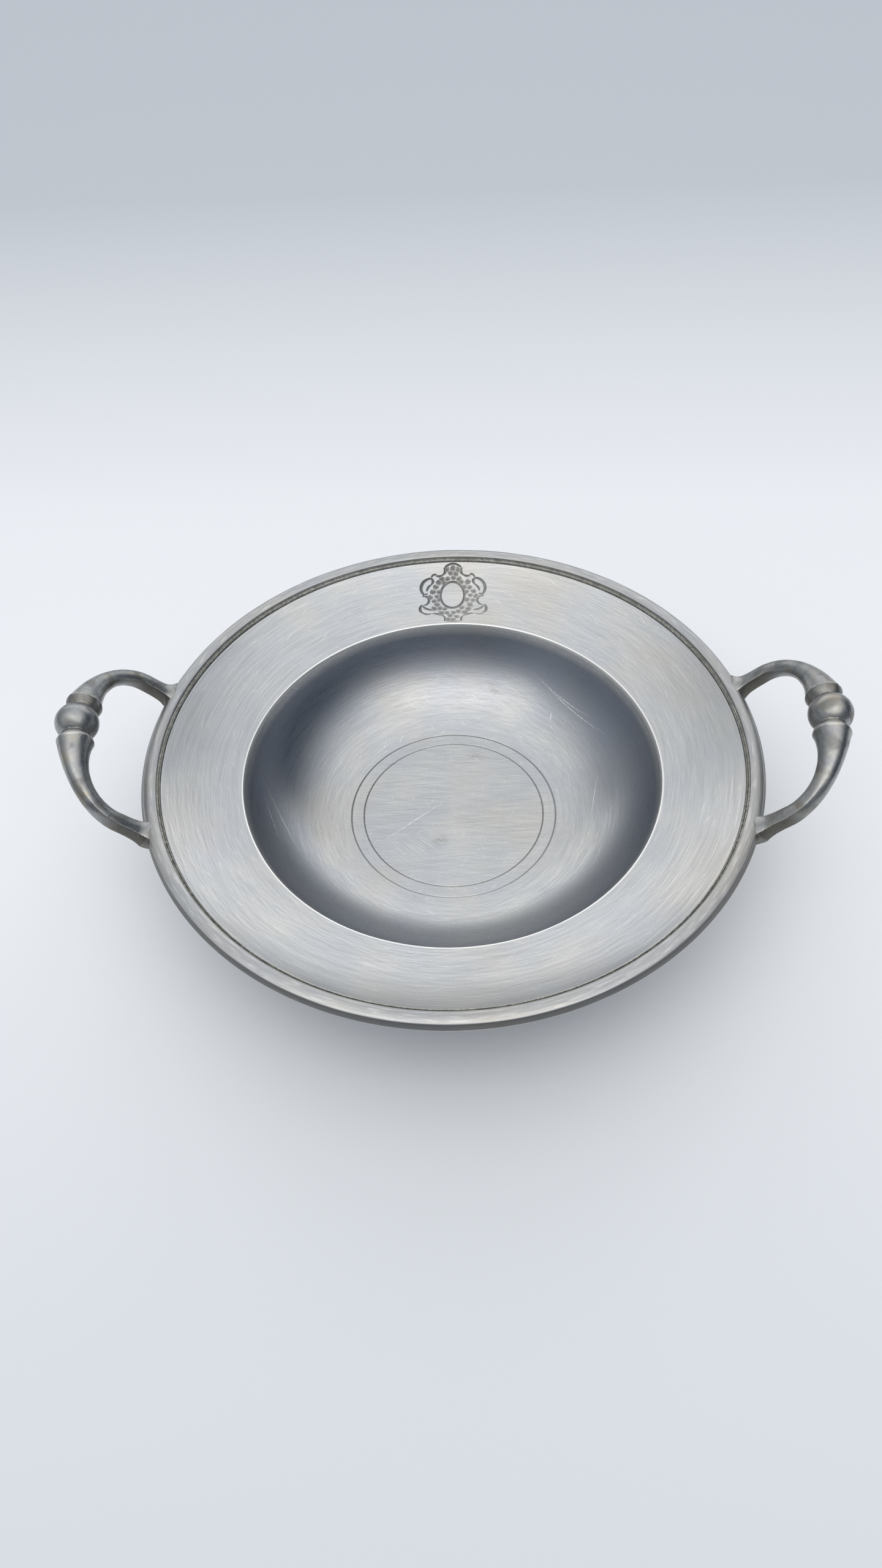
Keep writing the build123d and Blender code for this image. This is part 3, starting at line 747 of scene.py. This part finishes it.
def remeshed(bm, voxel, rounds):  # one closed skin round all that overlaps, smoothed
    rough = bpy.data.objects.new("rough", bpy.data.meshes.new("rough"))
    bmesh.ops.remove_doubles(bm, verts=bm.verts, dist=mergeGap)
    bmesh.ops.recalc_face_normals(bm, faces=bm.faces)
    bm.to_mesh(rough.data)
    bm.free()
    bpy.context.scene.collection.objects.link(rough)
    joined = rough.modifiers.new("joined", "REMESH")
    joined.mode = "VOXEL"
    joined.voxel_size = voxel
    skin = bpy.data.meshes.new_from_object(rough.evaluated_get(bpy.context.evaluated_depsgraph_get()))
    bpy.data.meshes.remove(rough.data)
    bm = bmesh.new()
    bm.from_mesh(skin)
    bpy.data.meshes.remove(skin)
    for _ in range(rounds):
        bmesh.ops.smooth_vert(bm, verts=bm.verts, factor=0.5,
                              use_axis_x=True, use_axis_y=True, use_axis_z=True)
    bm.normal_update()
    return bm


def toneHandle(bm, front):  # patina, wear, painted shade on the legs, and the uneven skin of a casting
    s = handleSizes
    dark, wearAndHighlightLayer = bm.verts.layers.float.new("patinaAndShade"), bm.verts.layers.float.new("wearAndHighlight")
    for v in bm.verts:  # brown in hollows and bright on edges, by how far a point stands out
        around = sum((e.other_vert(v).co for e in v.link_edges), Vector()) / len(v.link_edges)
        stand = (v.co - around).dot(v.normal) / s["voxel"]
        v[wearAndHighlightLayer] = s["edgeWear"] * smoothStep(0.03, 0.1, stand)
        v[dark] = s["hollowDark"] * smoothStep(0.04, 0.18, -stand)
    elsewhere = Vector((3, 1, 0.5))
    for v in bm.verts:
        place = abs(v.co.x)
        atFront = v.co.x * front > 0
        fromBar = math.hypot(v.co.y - s["barHeight"], v.co.z)
        if s["backNeck"] < place < s["backLip"] and fromBar < s["lipRadius"] and not atFront:
            v[dark] = max(v[dark], s["cupDark"] + s["cupVary"] * noise.noise(v.co / 2.5))
        brown = smoothStep(0.05, 0.45, noise.noise(v.co / 5 + elsewhere))
        if place < s["ballHalf"] and atFront:
            brown = s["ballStain"] * smoothStep(-0.1, 0.4, noise.noise(v.co / 6))
        # painted shade: undersides of the arms and legs, away from the cups, are darker
        below = smoothStep(0.3, 0.8, v.normal.z) * smoothStep(s["backLip"], s["backLip"] + 8, place)
        # painted shade: the lower sides that face the front are darker
        flank = smoothStep(0.35, 0.85, v.normal.x * front)
        flank *= smoothStep(s["flankTop"], s["flankTop"] / 2, v.co.y)
        v[dark] = max(v[dark], s["stain"] * brown, s["undersideShade"] * below, s["flankShade"] * flank)
        lump = noise.noise(v.co / s["castLength"]) + s["fineCast"] * noise.noise(v.co / s["fineLength"])
        v.co += v.normal * s["cast"] * lump


def buildHandle(name, azimuth, front, material):
    s = handleSizes
    bm = bmesh.new()
    lean = math.radians(s["cupLean"])
    shares = [s["armStart"]] + [1 - i / s["armSteps"] for i in range(s["armSteps"])]
    drops = [(s["bendStart"] + s["legTail"]) * i / s["legSteps"] for i in range(s["legSteps"] + 1)]
    for side in (1, -1):
        end = "front" if side == front else "back"
        lip, neck, spread = s[end + "Lip"], s[end + "Neck"], rootFillet[end + "Spread"]
        rings = [armRing(bm, side, lip, share, 0) for share in shares]
        rings += [armRing(bm, side, lip, 0, drop, rootLift(s["bendStart"] - drop), spread) for drop in drops]
        bridgeRings(bm, rings)
        cupAxis = Vector((side * math.cos(lean), -math.sin(lean), 0))
        swell = ((neck + lip - s["cupSwell"]) / 2, (s["neckRadius"] + s["lipRadius"]) / 2 + s["cupSwell"])
        bevelEnds = [(neck, s["neckRadius"]), swell, (lip, s["lipRadius"])]
        bevel = [arcPoint(*bevelEnds, i / 6) for i in range(7)]
        turnProfile(bm, [(0, 0), (0, s["neckRadius"])] + bevel + [(lip, 0)], cupAxis)
    shift, half = front * s["ballShift"], s["ballHalf"]
    ballEnds = [(shift - half, s["neckRadius"]), (shift, s["ballRadius"]), (shift + half, s["neckRadius"])]
    ball = [arcPoint(*ballEnds, i / 24) for i in range(25)]
    turnProfile(bm, [(shift - half, 0)] + ball + [(shift + half, 0)], Vector((1, 0, 0)))
    bm = remeshed(bm, s["voxel"], s["smoothing"])
    toneHandle(bm, front)
    bmesh.ops.transform(bm, matrix=handleFrame(azimuth), verts=bm.verts)
    cutBelow(bm, s["underside"])
    newPiece(name + "_casting", bm, material, "cast_pewter", name + "_handle")


def buildRootSolder(name, azimuth, side, spread, material):  # a thin collar where a leg meets the ring
    s = rootFillet
    bm = bmesh.new()
    rings = []
    for i in range(s["steps"] + 1):
        height = s["top"] - (s["top"] + s["depth"]) * i / s["steps"]
        grow = s["collar"] * (1 - smoothStep(0, s["collarTop"], height)) - s["sink"]
        drop = handleSizes["bendStart"] - height
        rings.append(armRing(bm, side, handleSizes["backLip"], 0, drop, rootLift(height), spread, grow))
    bridgeRings(bm, rings)
    bmesh.ops.transform(bm, matrix=handleFrame(azimuth), verts=bm.verts)
    cutBelow(bm, handleSizes["underside"])
    bm.normal_update()
    dark = bm.verts.layers.float.new("patinaAndShade")
    for v in bm.verts:
        lump = noise.noise(v.co / s["lump"])
        v[dark] = s["tone"] + s["lumpTone"] * smoothStep(0.1, 0.5, lump)
        v.co += v.normal * s["grain"] * lump
    newPiece(name + "_fillet", bm, material, "solder", name)


# Studio: pale paper, a soft sky that is dim in front and bright above and behind, one softbox, camera

studio = {
    "paper": "#f3f5f8", "farPaperShade": "#cbd0d6", "nearPaperShade": "#d6dbe0", "paperRadius": 4.0,
    "farFade": (0.2, 0.65), "nearFade": (0.0, -0.3),  # metres behind and in front of the bowl
    "skyBright": "#fbfcfe", "skyDim": "#3c4550", "skyStrength": 1.7, "skyTop": 0.76, "topFade": (0.4, 1.0),
    "horizonFade": (0.0, 0.3),
    # start, end and strength of the glow at the back, the left and the front
    "skySides": {"Y": (0.5, 0.88, 0.83), "X": (-0.3, -0.9, 0.26), "-Y": (-0.2, -0.9, 0.12)},
    "boxPlace": (-0.02, -0.34, 0.9), "boxSize": (1.3, 0.5), "boxPower": 1.6, "boxColour": "#fff7ec",
}


def paperMaterial():
    # Matt white paper with a faint cool tint, and painted shade greyer towards the front and far behind
    material = newMaterial("white_paper")
    tree = material.node_tree
    place = addNode(tree, "ShaderNodeTexCoord", give="Object")
    depth = addNode(tree, "ShaderNodeSeparateXYZ", {0: place}, give="Y")
    colour = studio["paper"]
    for fade, tone in (("farFade", "farPaperShade"), ("nearFade", "nearPaperShade")):
        start, end = studio[fade]
        factor = addNode(tree, "ShaderNodeMapRange", {"Value": depth, "From Min": start, "From Max": end})
        colour = addNode(tree, "ShaderNodeMix", {"Factor": factor, "A": colour, "B": studio[tone]},
                         data_type="RGBA")
    shader = addNode(tree, "ShaderNodeBsdfPrincipled",
                     {"Base Color": colour, "Roughness": 0.9, "Specular IOR Level": 0.2})
    addNode(tree, "ShaderNodeOutputMaterial", {"Surface": shader})
    return material


def buildPaper():
    bm = bmesh.new()
    bmesh.ops.create_circle(bm, cap_ends=True, segments=96, radius=studio["paperRadius"])
    mesh = bpy.data.meshes.new("paper")
    bm.to_mesh(mesh)
    bm.free()
    paper = bpy.data.objects.new("paper", mesh)
    bpy.context.scene.collection.objects.link(paper)
    mesh.materials.append(paperMaterial())


def buildSky():
    s = studio
    world = bpy.data.worlds.new("soft_sky")
    bpy.context.scene.world = world
    world.use_nodes = True
    tree = world.node_tree
    tree.nodes.clear()
    direction = addNode(tree, "ShaderNodeTexCoord", give="Generated")
    sides = 0.0
    for axis, (low, high, most) in s["skySides"].items():
        part = addNode(tree, "ShaderNodeSeparateXYZ", {0: direction}, give=axis[-1])
        part = addNode(tree, "ShaderNodeMapRange",
                       {"Value": part, "From Min": low, "From Max": high, "To Max": most},
                       interpolation_type="SMOOTHSTEP")
        sides = addNode(tree, "ShaderNodeMath", {0: sides, 1: part}, operation="ADD")
    rise = addNode(tree, "ShaderNodeSeparateXYZ", {0: direction}, give="Z")
    fades = []
    for start, end in (s["horizonFade"], s["topFade"]):
        fades.append(addNode(tree, "ShaderNodeMapRange", {"Value": rise, "From Min": start, "From Max": end},
                             interpolation_type="SMOOTHSTEP"))
    sides = addNode(tree, "ShaderNodeMath", {0: sides, 1: fades[0]}, operation="MULTIPLY")
    glow = addNode(tree, "ShaderNodeMix", {"Factor": fades[1], "A": sides, "B": s["skyTop"]})
    colour = addNode(tree, "ShaderNodeMix", {"Factor": glow, "A": s["skyDim"], "B": s["skyBright"]},
                     data_type="RGBA")
    sky = addNode(tree, "ShaderNodeBackground", {"Color": colour, "Strength": s["skyStrength"]})
    addNode(tree, "ShaderNodeOutputWorld", {"Surface": sky})


def buildSoftbox():
    s = studio
    box = bpy.data.lights.new("softbox", "AREA")
    box.shape = "RECTANGLE"
    box.size, box.size_y = s["boxSize"]
    box.energy = s["boxPower"]
    box.color = linear(s["boxColour"])[:3]
    holder = bpy.data.objects.new("softbox", box)
    holder.location = s["boxPlace"]
    holder.rotation_euler = (-Vector(s["boxPlace"])).to_track_quat("-Z", "Y").to_euler()
    bpy.context.scene.collection.objects.link(holder)


cameraView = {  # where the photograph was taken from, with its axes in the object's frame
    "place": (10.46, -243.21, 321.09),
    "right": (0.99921, 0.01638, -0.03624), "up": (0.01008, 0.77718, 0.62919),
    "lens": 22.5, "sensor": 36, "nearest": 10,
}


def buildCamera():
    s = cameraView
    right, up = Vector(s["right"]), Vector(s["up"])
    back = right.cross(up)
    data = bpy.data.cameras.new("view")
    data.lens, data.sensor_width = s["lens"], s["sensor"]
    data.clip_start = s["nearest"] * mm
    camera = bpy.data.objects.new("view", data)
    turn = Matrix((right, up, back)).transposed().to_4x4()
    camera.matrix_world = Matrix.Translation(Vector(s["place"]) * mm) @ turn
    bpy.context.scene.collection.objects.link(camera)
    bpy.context.scene.camera = camera


turned = turnedPewter(pewterLook)
cast = castPewter("cast_pewter", castLook)
solder = castPewter("solder", solderLook)
print("materials made")
buildBowl(turned)
buildBead(turned)
buildSeam(solder)
swing = math.radians(handleSizes["swing"])
for name, azimuth, front in (("right", -swing, -1), ("left", math.pi + swing, 1)):
    buildHandle(name, azimuth, front, cast)
    buildRootSolder(name + "_front_solder", azimuth, front, rootFillet["frontSpread"], cast)
    buildRootSolder(name + "_back_solder", azimuth, -front, rootFillet["backSpread"], cast)
buildPaper()
buildSky()
buildSoftbox()
buildCamera()
bpy.context.scene.view_settings.view_transform = "Standard"
print("studio ready")
